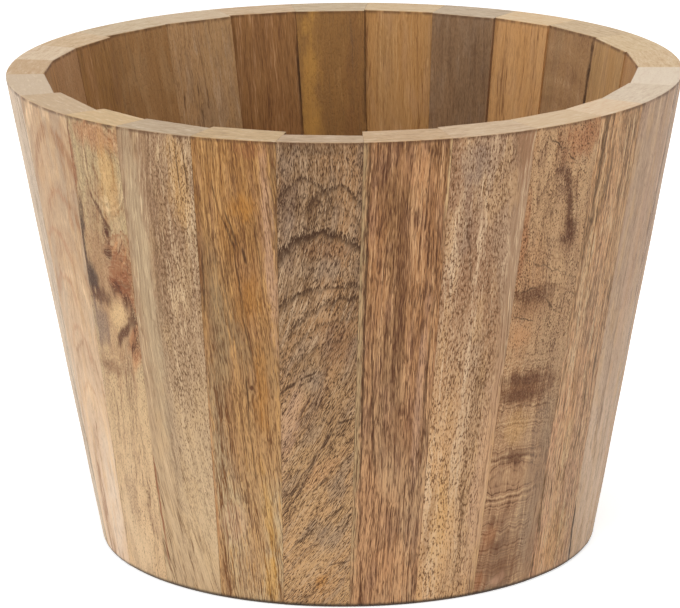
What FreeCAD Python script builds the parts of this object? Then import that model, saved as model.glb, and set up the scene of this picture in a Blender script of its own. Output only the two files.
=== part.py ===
import FreeCAD, Part
import Sketcher
import math
import os

# A round wooden flower pot, built up from upright staves glued edge to edge round a boarded base.
# The outside of the stave ring is turned to a plain taper. The inside is left as the flat faces of
# the staves, each of its own thickness, so the inner wall steps a little at the joints. A groove
# turned round the inside, just above the foot, holds the base, a disc of edge-glued boards.
#
# Millimetres, +Z up. The origin is the centre of the foot, on the surface that the pot stands on,
# and the front of the pot faces -Y. Angles run to the right from the front.

FULL_TURN = 360
HALF_TURN = FULL_TURN / 2
FRONT_DIRECTION = -FULL_TURN / 4

# Driving sizes, in millimetres, and angles in degrees
SIZES = (
    ("rim_diameter", 252.0, "outside diameter at the rim"),
    ("foot_diameter", 188.0, "outside diameter at the foot"),
    ("pot_height", 180.0, "foot to rim"),
    ("wall_thickness", 17.0, "usual thickness of a stave, measured level at its middle"),
    ("rim_outer_round", 1.2, "radius of the eased outer edge of the rim"),
    ("rim_inner_round", 0.8, "radius of the eased inner edge of the rim"),
    ("foot_outer_round", 1.5, "radius of the eased outer edge of the foot"),
    ("foot_inner_round", 0.8, "radius of the eased inner edge of the foot"),
    ("base_thickness", 12.0, "thickness of the base boards"),
    ("base_lift", 6.0, "height of the underside of the base over the foot"),
    ("groove_cover", 8.0, "wood left outside the groove that holds the base"),
    ("groove_side_clearance", 0.2, "gap between the edge of the base and the wall of the groove"),
    ("groove_top_clearance", 0.1, "gap between the base and the upper side of the groove"),
    ("cut_overrun", 5.0, "length by which a blank or a cut runs past the finished piece"),
    ("rim_first_angle", -51.8, "angle of the first seam at the rim"),
    ("foot_first_angle", -60.0, "angle of the first seam at the foot"),
    ("base_turn_angle", 24.0, "angle from the X axis to the run of the base boards"),
)

# One row for each stave: its width at the rim and at the foot as shares of an even width, and its
# thickness as a share of the usual thickness. The staves are not sawn to one taper, so the seams lean.
STAVE_SHARES = (
    (0.85, 1.02, 0.97),
    (1.00, 1.09, 0.95),
    (0.99, 1.05, 1.02),
    (0.96, 1.01, 0.70),
    (0.99, 1.03, 1.03),
    (1.03, 0.96, 1.10),
    (0.97, 1.11, 1.06),
    (0.81, 1.02, 1.05),
    (1.04, 1.01, 1.07),
    (1.03, 0.97, 1.05),
    (1.04, 0.97, 1.03),
    (1.04, 1.01, 1.06),
    (1.10, 1.01, 0.98),
    (0.95, 1.01, 1.00),
    (0.98, 0.94, 1.06),
    (1.01, 0.97, 0.97),
    (0.99, 0.97, 1.01),
    (0.99, 0.97, 0.95),
    (1.07, 1.01, 1.03),
    (1.15, 0.97, 1.00),
    (0.88, 0.94, 1.04),
    (0.87, 0.94, 0.96),
    (0.88, 0.97, 0.90),
    (1.20, 1.01, 0.88),
    (1.18, 1.04, 0.93),
)

# Width of each base board as a share of an even width
BOARD_SHARES = (0.94, 1.08, 1.02, 1.12, 0.84)

# Width of the turned blank that a stave is cut from, as a share of an even stave
BLANK_WIDTH_SHARE = 3

# Numbers by which a sketch knows the ends of a line and its own origin
START_INDEX = 1
END_INDEX = 2
ORIGIN_INDEX = -1


def stave_name(index):
    return f"stave_{index + 1:02d}"


def board_name(index):
    return f"base_board_{index + 1}"


def fill_sheet(doc):
    sheet = doc.addObject("Spreadsheet::Sheet", "Sizes")

    def put(column, row, alias, text):
        cell = f"{column}{row + 1}"
        sheet.set(cell, text)
        sheet.setAlias(cell, alias)

    for row, (alias, value, meaning) in enumerate(SIZES):
        sheet.set(f"A{row + 1}", meaning)
        put("B", row, alias, str(value))

    for row, (rim, foot, thickness) in enumerate(STAVE_SHARES):
        name = stave_name(row)
        put("D", row, f"{name}_rim_share", str(rim))
        put("E", row, f"{name}_foot_share", str(foot))
        put("F", row, f"{name}_thickness_share", str(thickness))

    for row, width in enumerate(BOARD_SHARES):
        put("K", row, f"{board_name(row)}_width_share", str(width))

    # Each seam stands one stave's width past the seam before it, and the last one closes the ring
    count = len(STAVE_SHARES)
    for end, share_column, seam_column in (("rim", "D", "G"), ("foot", "E", "H")):
        whole = f"sum({share_column}1:{share_column}{count})"
        put(seam_column, 0, f"{stave_name(0)}_{end}_seam", f"={end}_first_angle")
        for row in range(1, count + 1):
            before = stave_name(row - 1)
            step = f"{FULL_TURN} * {before}_{end}_share / {whole}"
            put(seam_column, row, f"{stave_name(row)}_{end}_seam", f"={before}_{end}_seam + {step}")

    # A stave faces the middle of its four corners
    for row in range(count):
        here, after = stave_name(row), stave_name(row + 1)
        corners = f"{here}_rim_seam + {after}_rim_seam + {here}_foot_seam + {after}_foot_seam"
        put("I", row, f"{here}_turn", f"=({corners}) / 4")

    # The groove is as deep as its cover allows, at half the height of the base
    taper = "(rim_diameter - foot_diameter) / 2 / pot_height"
    middle = "(base_lift + base_thickness / 2)"
    derived = (
        ("groove_radius", f"=foot_diameter / 2 + {taper} * {middle} - groove_cover"),
        ("base_radius", "=groove_radius - groove_side_clearance"),
    )
    for row, (alias, formula) in enumerate(derived, len(SIZES)):
        put("B", row, alias, formula)

    # A base board starts where the one before it ends, measured across the disc
    boards = len(BOARD_SHARES)
    put("L", 0, f"{board_name(0)}_edge", "=-base_radius")
    for row in range(1, boards + 1):
        before = board_name(row - 1)
        step = f"2 * base_radius * {before}_width_share / sum(K1:K{boards})"
        put("L", row, f"{board_name(row)}_edge", f"={before}_edge + {step}")

    doc.recompute()


def value(owner, expression):
    return float(owner.evalExpression(expression))


def origin_feature(body, role):
    return next(feature for feature in body.Origin.OriginFeatures if feature.Role == role)


def bind(sketch, name, kind, line, expression):
    origin = ORIGIN_INDEX, START_INDEX
    distance = Sketcher.Constraint(kind, *origin, line, START_INDEX, value(sketch, expression))
    place = sketch.addConstraint(distance)
    sketch.renameConstraint(place, name)
    if expression != "0":
        sketch.setExpression(f"Constraints.{name}", expression)


# A closed outline on one of the body's own planes, with each corner bound to a pair of expressions
def outline(body, name, plane_role, corners):
    sketch = body.newObject("Sketcher::SketchObject", name)
    sketch.AttachmentSupport = (origin_feature(body, plane_role), [""])
    sketch.MapMode = "FlatFace"
    points = [FreeCAD.Vector(value(sketch, x), value(sketch, y), 0) for x, y in corners]
    pairs = zip(points, points[1:] + points[:1])
    lines = [sketch.addGeometry(Part.LineSegment(*pair)) for pair in pairs]
    for line, following in zip(lines, lines[1:] + lines[:1]):
        meeting = Sketcher.Constraint("Coincident", line, END_INDEX, following, START_INDEX)
        sketch.addConstraint(meeting)
    for number, (line, (x, y)) in enumerate(zip(lines, corners), 1):
        bind(sketch, f"corner_{number}_across", "DistanceX", line, x)
        bind(sketch, f"corner_{number}_up", "DistanceY", line, y)
    return sketch


# Where a straight line through a foot place and a rim place is, past either end of the pot
def run_past(foot, rim):
    extra = f"(({rim}) - ({foot})) * Sizes.cut_overrun / Sizes.pot_height"
    return f"({foot}) - {extra}", f"({rim}) + {extra}"


UNDER_FOOT = "-Sizes.cut_overrun"
OVER_RIM = "Sizes.pot_height + Sizes.cut_overrun"


def add_pocket(body, name, sketch):
    before = body.Shape.Volume
    pocket = body.newObject("PartDesign::Pocket", name)
    pocket.Profile = sketch
    pocket.Type = "ThroughAll"
    pocket.Midplane = True
    body.Document.recompute()
    if body.Shape.Volume >= before:
        raise RuntimeError(f"{name} cuts nothing")


# Turned blank, wider and thicker than the stave
def turn_blank(body, name, inner_foot, inner_rim):
    section = outline(body, f"{name}_blank_section", "XZ_Plane", (
        (f"{inner_foot} - Sizes.cut_overrun", "0"),
        ("Sizes.foot_diameter / 2", "0"),
        ("Sizes.rim_diameter / 2", "Sizes.pot_height"),
        (f"{inner_rim} - Sizes.cut_overrun", "Sizes.pot_height"),
    ))
    blank = body.newObject("PartDesign::Revolution", f"{name}_blank")
    blank.Profile = section
    blank.ReferenceAxis = (origin_feature(body, "Z_Axis"), [""])
    blank.Angle = BLANK_WIDTH_SHARE * FULL_TURN / len(STAVE_SHARES)
    blank.Midplane = True
    body.Document.recompute()


# Saws off what lies past a seam. The seam is level across the wall and leans by the angle between
# its rim end and its foot end. side is -1 to saw off the left of it and 1 to saw off the right.
def saw_seam(body, name, seam_index, side):
    seam = stave_name(seam_index)
    half_lean = f"((Sizes.{seam}_rim_seam - Sizes.{seam}_foot_seam) / 2 * 1 deg)"
    foot = f"-Sizes.foot_diameter / 2 * sin{half_lean}"
    rim = f"Sizes.rim_diameter / 2 * sin{half_lean}"
    low, high = run_past(foot, rim)
    reach = f"{side} * Sizes.foot_diameter / 2"
    word = "left" if side < 0 else "right"
    cut = outline(body, f"{name}_{word}_cut", "YZ_Plane", (
        (low, UNDER_FOOT),
        (reach, UNDER_FOOT),
        (reach, OVER_RIM),
        (high, OVER_RIM),
    ))
    middle = f"(Sizes.{seam}_rim_seam + Sizes.{seam}_foot_seam) / 2 - Sizes.{name}_turn"
    upright = FreeCAD.Vector(0, 1, 0)
    cut.AttachmentOffset = FreeCAD.Placement(FreeCAD.Vector(), upright, HALF_TURN)
    cut.setExpression("AttachmentOffset.Rotation.Angle", f"({middle}) * 1 deg")
    body.Document.recompute()
    add_pocket(body, f"{name}_{word}_seam", cut)


# Planes the flat inner face
def plane_face(body, name, inner_foot, inner_rim):
    low, high = run_past(inner_foot, inner_rim)
    cut = outline(body, f"{name}_face_cut", "XZ_Plane", (
        ("0", UNDER_FOOT),
        (low, UNDER_FOOT),
        (high, OVER_RIM),
        ("0", OVER_RIM),
    ))
    body.Document.recompute()
    add_pocket(body, f"{name}_face", cut)


# Turns the groove that takes the edge of the base
def turn_groove(body, name):
    roof = "Sizes.base_lift + Sizes.base_thickness + Sizes.groove_top_clearance"
    section = outline(body, f"{name}_groove_section", "XZ_Plane", (
        ("0", "Sizes.base_lift"),
        ("Sizes.groove_radius", "Sizes.base_lift"),
        ("Sizes.groove_radius", roof),
        ("0", roof),
    ))
    before = body.Shape.Volume
    groove = body.newObject("PartDesign::Groove", f"{name}_groove")
    groove.Profile = section
    groove.ReferenceAxis = (origin_feature(body, "Z_Axis"), [""])
    groove.Angle = FULL_TURN
    body.Document.recompute()
    if body.Shape.Volume >= before:
        raise RuntimeError(f"{name}: the groove cuts nothing")


# Rounds the outermost or the innermost edge of the stave's rim or foot
def ease(body, name, height, outermost, size):
    shape = body.Tip.Shape

    def is_level(edge):
        return all(math.isclose(v.Z, height, abs_tol=2 * v.Tolerance) for v in edge.Vertexes)

    def mean_radius(edge_name):
        ends = [v.Point for v in shape.getElement(edge_name).Vertexes]
        return sum(math.hypot(p.x, p.y) for p in ends) / len(ends)

    names = [f"Edge{i}" for i, edge in enumerate(shape.Edges, 1) if is_level(edge)]
    names.sort(key=mean_radius)
    base = body.Tip
    fillet = body.newObject("PartDesign::Fillet", name)
    fillet.Base = (base, [names[-1] if outermost else names[0]])
    fillet.setExpression("Radius", f"Sizes.{size}")
    body.Document.recompute()


def make_stave(doc, index):
    name = stave_name(index)
    body = doc.addObject("PartDesign::Body", name)
    body.Label = name
    thickness = f"Sizes.wall_thickness * Sizes.{name}_thickness_share"
    inner_foot = f"Sizes.foot_diameter / 2 - {thickness}"
    inner_rim = f"Sizes.rim_diameter / 2 - {thickness}"
    rim_height = value(body, "Sizes.pot_height")

    turn_blank(body, name, inner_foot, inner_rim)
    ease(body, f"{name}_rim_outer_edge", rim_height, True, "rim_outer_round")
    ease(body, f"{name}_foot_outer_edge", 0, True, "foot_outer_round")
    saw_seam(body, name, index, -1)
    saw_seam(body, name, index + 1, 1)
    plane_face(body, name, inner_foot, inner_rim)
    turn_groove(body, name)
    ease(body, f"{name}_rim_inner_edge", rim_height, False, "rim_inner_round")
    ease(body, f"{name}_foot_inner_edge", 0, False, "foot_inner_round")

    body.Placement = FreeCAD.Placement(FreeCAD.Vector(), FreeCAD.Vector(0, 0, 1), HALF_TURN)
    body.setExpression("Placement.Rotation.Angle", f"(Sizes.{name}_turn + {FRONT_DIRECTION}) * 1 deg")
    return body


# A base board is a straight plank of which the round of the disc leaves the middle
def make_board(doc, index):
    name = board_name(index)
    first, last = f"Sizes.{name}_edge", f"Sizes.{board_name(index + 1)}_edge"
    if index == 0:
        first += " - Sizes.cut_overrun"
    if index == len(BOARD_SHARES) - 1:
        last += " + Sizes.cut_overrun"
    half_length = "(Sizes.base_radius + Sizes.cut_overrun)"

    plank = doc.addObject("Part::Box", f"{name}_plank")
    plank.setExpression("Length", f"2 * {half_length}")
    plank.setExpression("Width", f"({last}) - ({first})")
    plank.setExpression("Height", "Sizes.base_thickness")
    plank.setExpression("Placement.Base.x", f"-{half_length}")
    plank.setExpression("Placement.Base.y", first)

    disc = doc.addObject("Part::Cylinder", f"{name}_disc")
    disc.setExpression("Radius", "Sizes.base_radius")
    disc.setExpression("Height", "Sizes.base_thickness")

    board = doc.addObject("Part::Common", name)
    board.Label = name
    board.Base, board.Tool = plank, disc
    board.Placement = FreeCAD.Placement(FreeCAD.Vector(), FreeCAD.Vector(0, 0, 1), HALF_TURN)
    board.setExpression("Placement.Base.z", "Sizes.base_lift")
    board.setExpression("Placement.Rotation.Angle", "Sizes.base_turn_angle * 1 deg")
    return board


def check(doc, pieces):
    doc.recompute()
    for thing in doc.Objects:
        if "Invalid" in thing.State or "Error" in thing.State:
            raise RuntimeError(f"{thing.Label}: {thing.State}")
    for piece in pieces:
        shape = piece.Shape
        if shape.isNull() or not shape.isValid() or len(shape.Solids) != 1:
            raise RuntimeError(f"{piece.Label}: not one valid solid")


def main():
    doc = FreeCAD.newDocument("flower_pot")
    fill_sheet(doc)
    pieces = [make_stave(doc, index) for index in range(len(STAVE_SHARES))]
    pieces += [make_board(doc, index) for index in range(len(BOARD_SHARES))]
    check(doc, pieces)

    os.makedirs("parts", exist_ok=True)
    for piece in pieces:
        piece.Shape.exportStep(os.path.join("parts", f"{piece.Label}.step"))
        box = piece.Shape.BoundBox
        print(f"{piece.Label}: {piece.Shape.Volume:.0f} mm3, z {box.ZMin:.2f} to {box.ZMax:.2f}")


main()
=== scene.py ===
import math

import bmesh
import bpy
from mathutils import Matrix, Vector, noise


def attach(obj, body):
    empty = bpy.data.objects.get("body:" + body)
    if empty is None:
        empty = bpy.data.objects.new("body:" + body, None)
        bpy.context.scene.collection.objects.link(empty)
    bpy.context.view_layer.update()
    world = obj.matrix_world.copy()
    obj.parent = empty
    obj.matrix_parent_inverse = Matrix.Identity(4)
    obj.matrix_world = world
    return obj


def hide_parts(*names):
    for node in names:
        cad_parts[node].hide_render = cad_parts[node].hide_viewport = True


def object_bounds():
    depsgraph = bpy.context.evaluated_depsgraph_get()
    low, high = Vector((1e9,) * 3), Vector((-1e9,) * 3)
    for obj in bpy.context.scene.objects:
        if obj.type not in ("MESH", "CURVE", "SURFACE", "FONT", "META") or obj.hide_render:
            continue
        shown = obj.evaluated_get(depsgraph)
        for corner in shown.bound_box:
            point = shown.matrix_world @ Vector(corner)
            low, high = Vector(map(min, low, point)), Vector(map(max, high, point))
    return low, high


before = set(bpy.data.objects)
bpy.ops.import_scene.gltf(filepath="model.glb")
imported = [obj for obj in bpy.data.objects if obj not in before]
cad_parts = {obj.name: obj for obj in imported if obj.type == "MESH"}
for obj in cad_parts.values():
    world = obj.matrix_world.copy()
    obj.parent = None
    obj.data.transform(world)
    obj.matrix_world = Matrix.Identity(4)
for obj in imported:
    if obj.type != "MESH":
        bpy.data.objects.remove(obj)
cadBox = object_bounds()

scene = bpy.context.scene
scene.view_settings.view_transform = "Standard"
mm = 0.001
potHeight = cadBox[1].z / mm
print("frame loaded, pot height", round(potHeight, 2))


# camera at the photograph's angle, long lens
camera = {
    "aim": (0, 0, 0.090),
    "distance": 1.5193,
    "elevation": 15.19,
    "lens": 212.5,
    "sensor": 36,
    "pan": -0.091,
    "tilt": -0.059,
    "roll": -0.469,
}


def addCamera():
    data = bpy.data.cameras.new("potCamera")
    data.lens = camera["lens"]
    data.sensor_width = camera["sensor"]
    obj = bpy.data.objects.new("potCamera", data)
    scene.collection.objects.link(obj)
    lift = math.radians(camera["elevation"])
    back = Vector((0, -math.cos(lift), math.sin(lift)))
    turn = (-back).to_track_quat("-Z", "Y").to_matrix()
    turn = turn @ Matrix.Rotation(-math.radians(camera["pan"]), 3, "Y")
    turn = turn @ Matrix.Rotation(math.radians(camera["tilt"]), 3, "X")
    turn = turn @ Matrix.Rotation(math.radians(camera["roll"]), 3, "Z")
    obj.location = Vector(camera["aim"]) + back * camera["distance"]
    obj.rotation_euler = turn.to_euler()
    scene.camera = obj


addCamera()


# node helpers: put() adds a node and feeds its sockets, the rest are shorthands for what recurs
def put(tree, kind, sockets=None, **options):
    made = tree.nodes.new("ShaderNode" + kind)
    for option, value in options.items():
        setattr(made, option, value)
    for socket, value in (sockets or {}).items():
        if isinstance(value, bpy.types.NodeSocket):
            tree.links.new(value, made.inputs[socket])
        else:
            made.inputs[socket].default_value = value
    return made


def calc(tree, operation, *values, clamp=False):
    return put(tree, "Math", dict(enumerate(values)), operation=operation, use_clamp=clamp).outputs[0]


def calcVector(tree, operation, *values):
    return put(tree, "VectorMath", dict(enumerate(values)), operation=operation).outputs[0]


def fade(tree, value, start, end, low=0.0, high=1.0):
    sockets = {0: value, 1: start, 2: end, 3: low, 4: high}
    return put(tree, "MapRange", sockets, interpolation_type="SMOOTHSTEP").outputs[0]


def tint(tree, share, under, over, blend="MIX"):
    sockets = {0: share, 6: under, 7: over}
    return put(tree, "Mix", sockets, data_type="RGBA", blend_type=blend).outputs[2]


def place(tree, vector, location=(0, 0, 0), turn=(0, 0, 0), size=(1, 1, 1)):
    sockets = {"Vector": vector, "Location": location, "Rotation": turn, "Scale": size}
    return put(tree, "Mapping", sockets, vector_type="TEXTURE").outputs[0]


seedStep = (17.0, 31.0, 53.0)  # how far the noise of one seed lies from the next


def cloud(tree, vector, size, seed, detail=1, rough=0.5, output="Fac"):
    start = tuple(step * seed for step in seedStep)
    moved = place(tree, vector, start, (0, 0, 0), size)
    sockets = {"Vector": moved, "Scale": 1, "Detail": detail, "Roughness": rough}
    return put(tree, "TexNoise", sockets).outputs[output]


def ringNoise(tree, along):
    sockets = {"W": along, "Scale": 1, "Detail": 2, "Roughness": 0.6}
    return put(tree, "TexNoise", sockets, noise_dimensions="1D").outputs["Fac"]


def distance(tree, vector):
    return put(tree, "VectorMath", {0: vector}, operation="LENGTH").outputs["Value"]


def centred(tree, value):
    return calc(tree, "SUBTRACT", value, 0.5)


def between(one, other, share):
    return tuple(first + (second - first) * share for first, second in zip(one, other))


def rgb(red, green, blue):
    # screen levels of 0 to 255 made linear
    def linear(level):
        level = level / 255
        return level / 12.92 if level <= 0.04045 else ((level + 0.055) / 1.055) ** 2.4
    return (linear(red), linear(green), linear(blue), 1.0)


# floor and light: white floor that keeps a faint shadow, even soft light
studio = {
    "floorSize": 8.0,
    "floorGlow": 0.62,
    "floorColour": (0.88, 0.88, 0.88, 1.0),
    "skyLight": 0.44,
    "lampAim": (0, 0, 0.1),
    "lamps": [
        {"name": "keyLamp", "at": (-1.3, -1.9, 0.75), "size": 1.5, "watts": 27},
        {"name": "fillLamp", "at": (1.8, -1.5, 0.6), "size": 1.4, "watts": 12},
        {"name": "edgeLamp", "at": (-1.6, 0.5, 0.5), "size": 1.0, "watts": 5},
        {"name": "topLamp", "at": (0.1, -0.3, 1.8), "size": 1.0, "watts": 10},
    ],
}


def seenDirectly(tree):
    path = put(tree, "LightPath")
    seen = calc(tree, "ADD", path.outputs["Is Camera Ray"], path.outputs["Is Glossy Ray"])
    return calc(tree, "ADD", seen, path.outputs["Is Transmission Ray"], clamp=True)


def addStudio():
    bm = bmesh.new()
    bmesh.ops.create_grid(bm, x_segments=1, y_segments=1, size=studio["floorSize"] / 2)
    mesh = bpy.data.meshes.new("floor")
    bm.to_mesh(mesh)
    bm.free()
    floor = bpy.data.objects.new("floor", mesh)
    scene.collection.objects.link(floor)
    paper = bpy.data.materials.new("paperWhite")
    paper.use_nodes = True
    tree = paper.node_tree
    tree.nodes.clear()
    matt = put(tree, "BsdfDiffuse", {"Color": studio["floorColour"]}).outputs[0]
    glow = calc(tree, "MULTIPLY", seenDirectly(tree), studio["floorGlow"])
    lit = put(tree, "Emission", {"Strength": glow}).outputs[0]
    both = put(tree, "AddShader", {0: matt, 1: lit}).outputs[0]
    put(tree, "OutputMaterial", {"Surface": both})
    mesh.materials.append(paper)

    world = bpy.data.worlds.new("studioSky")
    scene.world = world
    world.use_nodes = True
    tree = world.node_tree
    tree.nodes.clear()
    strength = fade(tree, seenDirectly(tree), 0, 1, studio["skyLight"], 1.0)
    sky = put(tree, "Background", {"Color": (1, 1, 1, 1), "Strength": strength}).outputs[0]
    put(tree, "OutputWorld", {"Surface": sky})

    for lamp in studio["lamps"]:
        data = bpy.data.lights.new(lamp["name"], "AREA")
        data.size = lamp["size"]
        data.energy = lamp["watts"]
        obj = bpy.data.objects.new(lamp["name"], data)
        scene.collection.objects.link(obj)
        obj.location = lamp["at"]
        way = Vector(studio["lampAim"]) - obj.location
        obj.rotation_euler = way.to_track_quat("-Z", "Y").to_euler()


addStudio()
print("camera, floor and lights placed")


# woods: mid is the colour near the rim and low near the foot, partly the wood's own tone and partly
# painted light, where a paler low stands in for the light from the white floor; dark and pale are the
# grain's ends, end is the sawn end; heart is the ring centre from the stave's middle, across, into the
# wood and along, in mm
# lines and pores are width, length, level and share
woods = {
    "golden_tan": {
        "mid": (176, 130, 84), "low": (184, 143, 100), "dark": (112, 72, 40), "pale": (208, 164, 112),
        "end": (226, 202, 164), "poreColour": (84, 48, 20),
        "patch": (194, 138, 74), "patchShare": 0.5, "tinge": (186, 146, 112), "tingeShare": 0.4,
        "heart": (60, 40, 0), "heartSize": (1, 1, 9), "ringSpacing": 3.2,
        "slow": 0.8, "streaks": 1.08, "fibre": 1.35, "rings": 0.4, "wave": 4.0, "ripple": 0.8,
        "lines": (0.4, 48.0, 0.44, 0.56), "pores": (0.34, 3.0, 0.46, 0.54),
    },
    "olive_tan": {
        "mid": (184, 150, 114), "low": (198, 167, 130), "dark": (120, 90, 60), "pale": (214, 184, 146),
        "end": (222, 204, 174), "poreColour": (86, 54, 26),
        "patch": (176, 146, 114), "patchShare": 0.35, "tinge": (200, 166, 122), "tingeShare": 0.35,
        "heart": (70, 30, 0), "heartSize": (1, 1, 12), "ringSpacing": 3.0,
        "slow": 0.6, "streaks": 0.96, "fibre": 1.35, "rings": 0.3, "wave": 3.0, "ripple": 0.9,
        "lines": (0.4, 40.0, 0.43, 0.44), "pores": (0.42, 1.3, 0.46, 0.68),
    },
    "grey_brown": {
        "mid": (158, 124, 94), "low": (172, 136, 100), "dark": (92, 64, 44), "pale": (192, 160, 126),
        "end": (218, 198, 170), "poreColour": (62, 36, 18),
        "patch": (188, 140, 94), "patchShare": 0.4, "tinge": (146, 122, 100), "tingeShare": 0.5,
        "heart": (0, 20, -40), "heartSize": (1, 1, 3), "ringSpacing": 4.0,
        "slow": 0.6, "streaks": 0.72, "fibre": 1.05, "rings": 0.3, "wave": 4.0, "ripple": 1.0,
        "lines": (0.4, 16.0, 0.43, 0.38), "pores": (0.3, 1.8, 0.48, 0.74),
    },
    "red_brown": {
        "mid": (172, 126, 86), "low": (180, 136, 98), "dark": (98, 62, 38), "pale": (204, 158, 114),
        "end": (226, 200, 166), "poreColour": (74, 40, 20),
        "patch": (190, 134, 88), "patchShare": 0.5, "tinge": (136, 98, 78), "tingeShare": 0.45,
        "heart": (50, 30, 0), "heartSize": (1, 1, 14), "ringSpacing": 3.5,
        "slow": 0.7, "streaks": 1.08, "fibre": 1.35, "rings": 0.4, "wave": 3.0, "ripple": 0.7,
        "lines": (0.4, 26.0, 0.45, 0.62), "pores": (0.32, 4.0, 0.47, 0.68),
    },
    "pale_tan": {
        "mid": (184, 150, 116), "low": (196, 160, 122), "dark": (128, 96, 66), "pale": (218, 186, 150),
        "end": (230, 212, 184), "poreColour": (92, 58, 32),
        "patch": (178, 150, 122), "patchShare": 0.4, "tinge": (206, 164, 116), "tingeShare": 0.4,
        "heart": (40, 35, 20), "heartSize": (1, 1, 6), "ringSpacing": 4.0,
        "slow": 0.6, "streaks": 0.6, "fibre": 0.9, "rings": 0.4, "wave": 5.0, "ripple": 1.2,
        "lines": (0.4, 40.0, 0.42, 0.31), "pores": (0.42, 1.0, 0.47, 0.74),
    },
    "knotty_brown": {
        "mid": (176, 138, 103), "low": (172, 134, 102), "dark": (106, 70, 46), "pale": (208, 172, 130),
        "end": (224, 198, 160), "poreColour": (86, 52, 26),
        "patch": (184, 132, 88), "patchShare": 0.45, "tinge": (160, 124, 96), "tingeShare": 0.35,
        "heart": (10, 18, 15), "heartSize": (1, 1, 1.8), "ringSpacing": 4.0,
        "slow": 0.7, "streaks": 0.6, "fibre": 0.9, "rings": 0.6, "wave": 9.0, "ripple": 1.8,
        "lines": (0.4, 16.0, 0.43, 0.25), "pores": (0.4, 1.1, 0.46, 0.68),
    },
    "base_tan": {
        "mid": (180, 142, 102), "low": (186, 148, 108), "dark": (116, 82, 52), "pale": (208, 172, 130),
        "end": (206, 172, 132), "poreColour": (92, 64, 40),
        "patch": (174, 132, 92), "patchShare": 0.4, "tinge": (192, 150, 110), "tingeShare": 0.3,
        "heart": (60, 40, 0), "heartSize": (1, 1, 9), "ringSpacing": 3.5,
        "slow": 0.8, "streaks": 0.96, "fibre": 1.2, "rings": 0.5, "wave": 4.0, "ripple": 0.8,
        "lines": (0.4, 40.0, 0.43, 0.44), "pores": (0.36, 3.0, 0.45, 0.61),
    },
}
# what every wood starts from: upright grain, and rings, lines and pores all over
# lean is the grain's slope and curl; a span is an axis with the places where the layer starts and is full
plainWood = {"lean": (0.0, 0.0), "ringSpan": (), "lineSpan": (), "poreSpan": ()}
stainColours = {
    "resin": (68, 48, 38), "knot": (86, 48, 28), "brown": (118, 76, 48), "umber": (64, 40, 22),
    "russet": (170, 108, 68), "rosewood": (142, 88, 56), "blush": (204, 162, 130),
    "apricot": (198, 144, 98),
    "honey": (206, 158, 94), "amber": (180, 122, 54), "yolk": (212, 158, 76), "cream": (216, 180, 132),
    "slate": (128, 106, 92), "ash": (150, 128, 106), "olive": (170, 144, 106), "sage": (192, 170, 136),
}
# the woods' finish, with two painted shadows: the dark line under the rim's edge and the dark line along
# the foot; heights and depths in mm, but bumpDepth in m
finishAndShade = {
    "endShare": 0.75, "endPale": (240, 222, 196), "endTop": 0.35, "footTop": 0.4, "endFull": 0.05,
    "endDarkShare": 0.5, "endPaleShare": 0.45, "strokeShare": 0.45,
    "rimShadow": (88, 58, 38), "rimShadowShare": 0.7, "rimShadowDepth": 1.8, "rimShadowFull": 0.5,
    "footShadow": (40, 32, 26), "footShadowShare": 0.85, "footShadowHeight": 2.3, "footShadowFull": 0.9,
    "innerShare": 0.3, "innerGrain": 0.55,
    "roughness": 0.58, "roughSpread": 0.16, "specular": 0.15, "sheen": 0.04,
    "bump": 0.5, "bumpDepth": 0.0002,
}
# noise layers: size across, into and along the wood in mm, seed, detail and roughness
layers = {
    "sweep": ((22, 22, 55), 0, 1, 0.5),
    "ripple": ((3.5, 3.5, 8), 1, 1, 0.5),
    "slow": ((9, 9, 90), 2, 1, 0.5),
    "streaks": ((1.3, 1.3, 36), 3, 2, 0.6),
    "fibre": ((0.42, 0.42, 11), 4, 2, 0.6),
    "patches": ((14, 14, 60), 5, 1, 0.5),
    "tinges": ((4, 4, 18), 11, 1, 0.5),
    "crowd": ((6, 6, 24), 7, 1, 0.5),
    "blotch": ((3.2, 3.2, 7), 9, 2, 0.5),
    "endGrain": ((7, 1.4, 4), 10, 3, 0.65),
    "strokes": ((2.6, 0.5, 2), 12, 2, 0.6),
}
lineSeed = 6
poreSeed = 8
# where each layer starts and where it is full: mm in the stave's frame, or levels of the noise
fades = {
    "innerFace": (4, 9), "toneAndLightTowardsFoot": (50, -75), "footFace": (3.0, 1.2),
    "patches": (0.42, 0.62), "tinges": (0.48, 0.68), "darkGrain": (0.5, 0.14), "paleGrain": (0.5, 0.91),
    "gleam": (0.52, 0.72), "dashes": (0.66, 0.44), "hollows": (0.30, 0.55), "rimBreaks": (-0.15, 0.1),
    "endDark": (0.52, 0.25), "endPale": (0.5, 0.8), "strokes": (0.5, 0.28),
}
# how far marks follow the grain's wander, how ragged their edges are, and how lines and pores break up
ragging = {
    "markWave": 0.4, "markRipple": (1.2, 1.2, 2), "fibre": 0.5, "blotch": 1.6, "pores": 2.2,
    "poreEdge": 0.12, "poreCrowding": -0.2, "gleamShare": 0.45, "dashGap": 0.5, "rimGap": 0.3,
}
# the marks' own shapes; a reach of 1 is the edge of a mark's oval
markForm = {
    "depth": 40,
    "stainRagged": 0.75, "stainEdge": (1.2, 0.3),
    "knotRagged": 0.5, "knotEdge": (1.3, 0.35), "knotCore": (0.45, 0.2),
    "knotRings": 4.0, "knotLines": (0.62, 0.38), "knotBetween": 0.15,
    "bulge": 1.5, "bulgeEdge": (1.5, 0.1), "bulgePush": 0.9,
    "archRagged": 1.6, "archFeet": (0.0, 0.35),
}


def woodOf(recipe):
    # the named wood with what the recipe changes
    wood = {**plainWood, **woods[recipe["wood"]]}
    wood.update({key: value for key, value in recipe.items() if key in wood})
    return wood


def spanShare(tree, places, spans):
    share = 1.0
    for axis, start, full in spans:
        ramp = fade(tree, places["xyz".index(axis)], start, full)
        share = ramp if share == 1.0 else calc(tree, "MULTIPLY", share, ramp)
    return share


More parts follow.
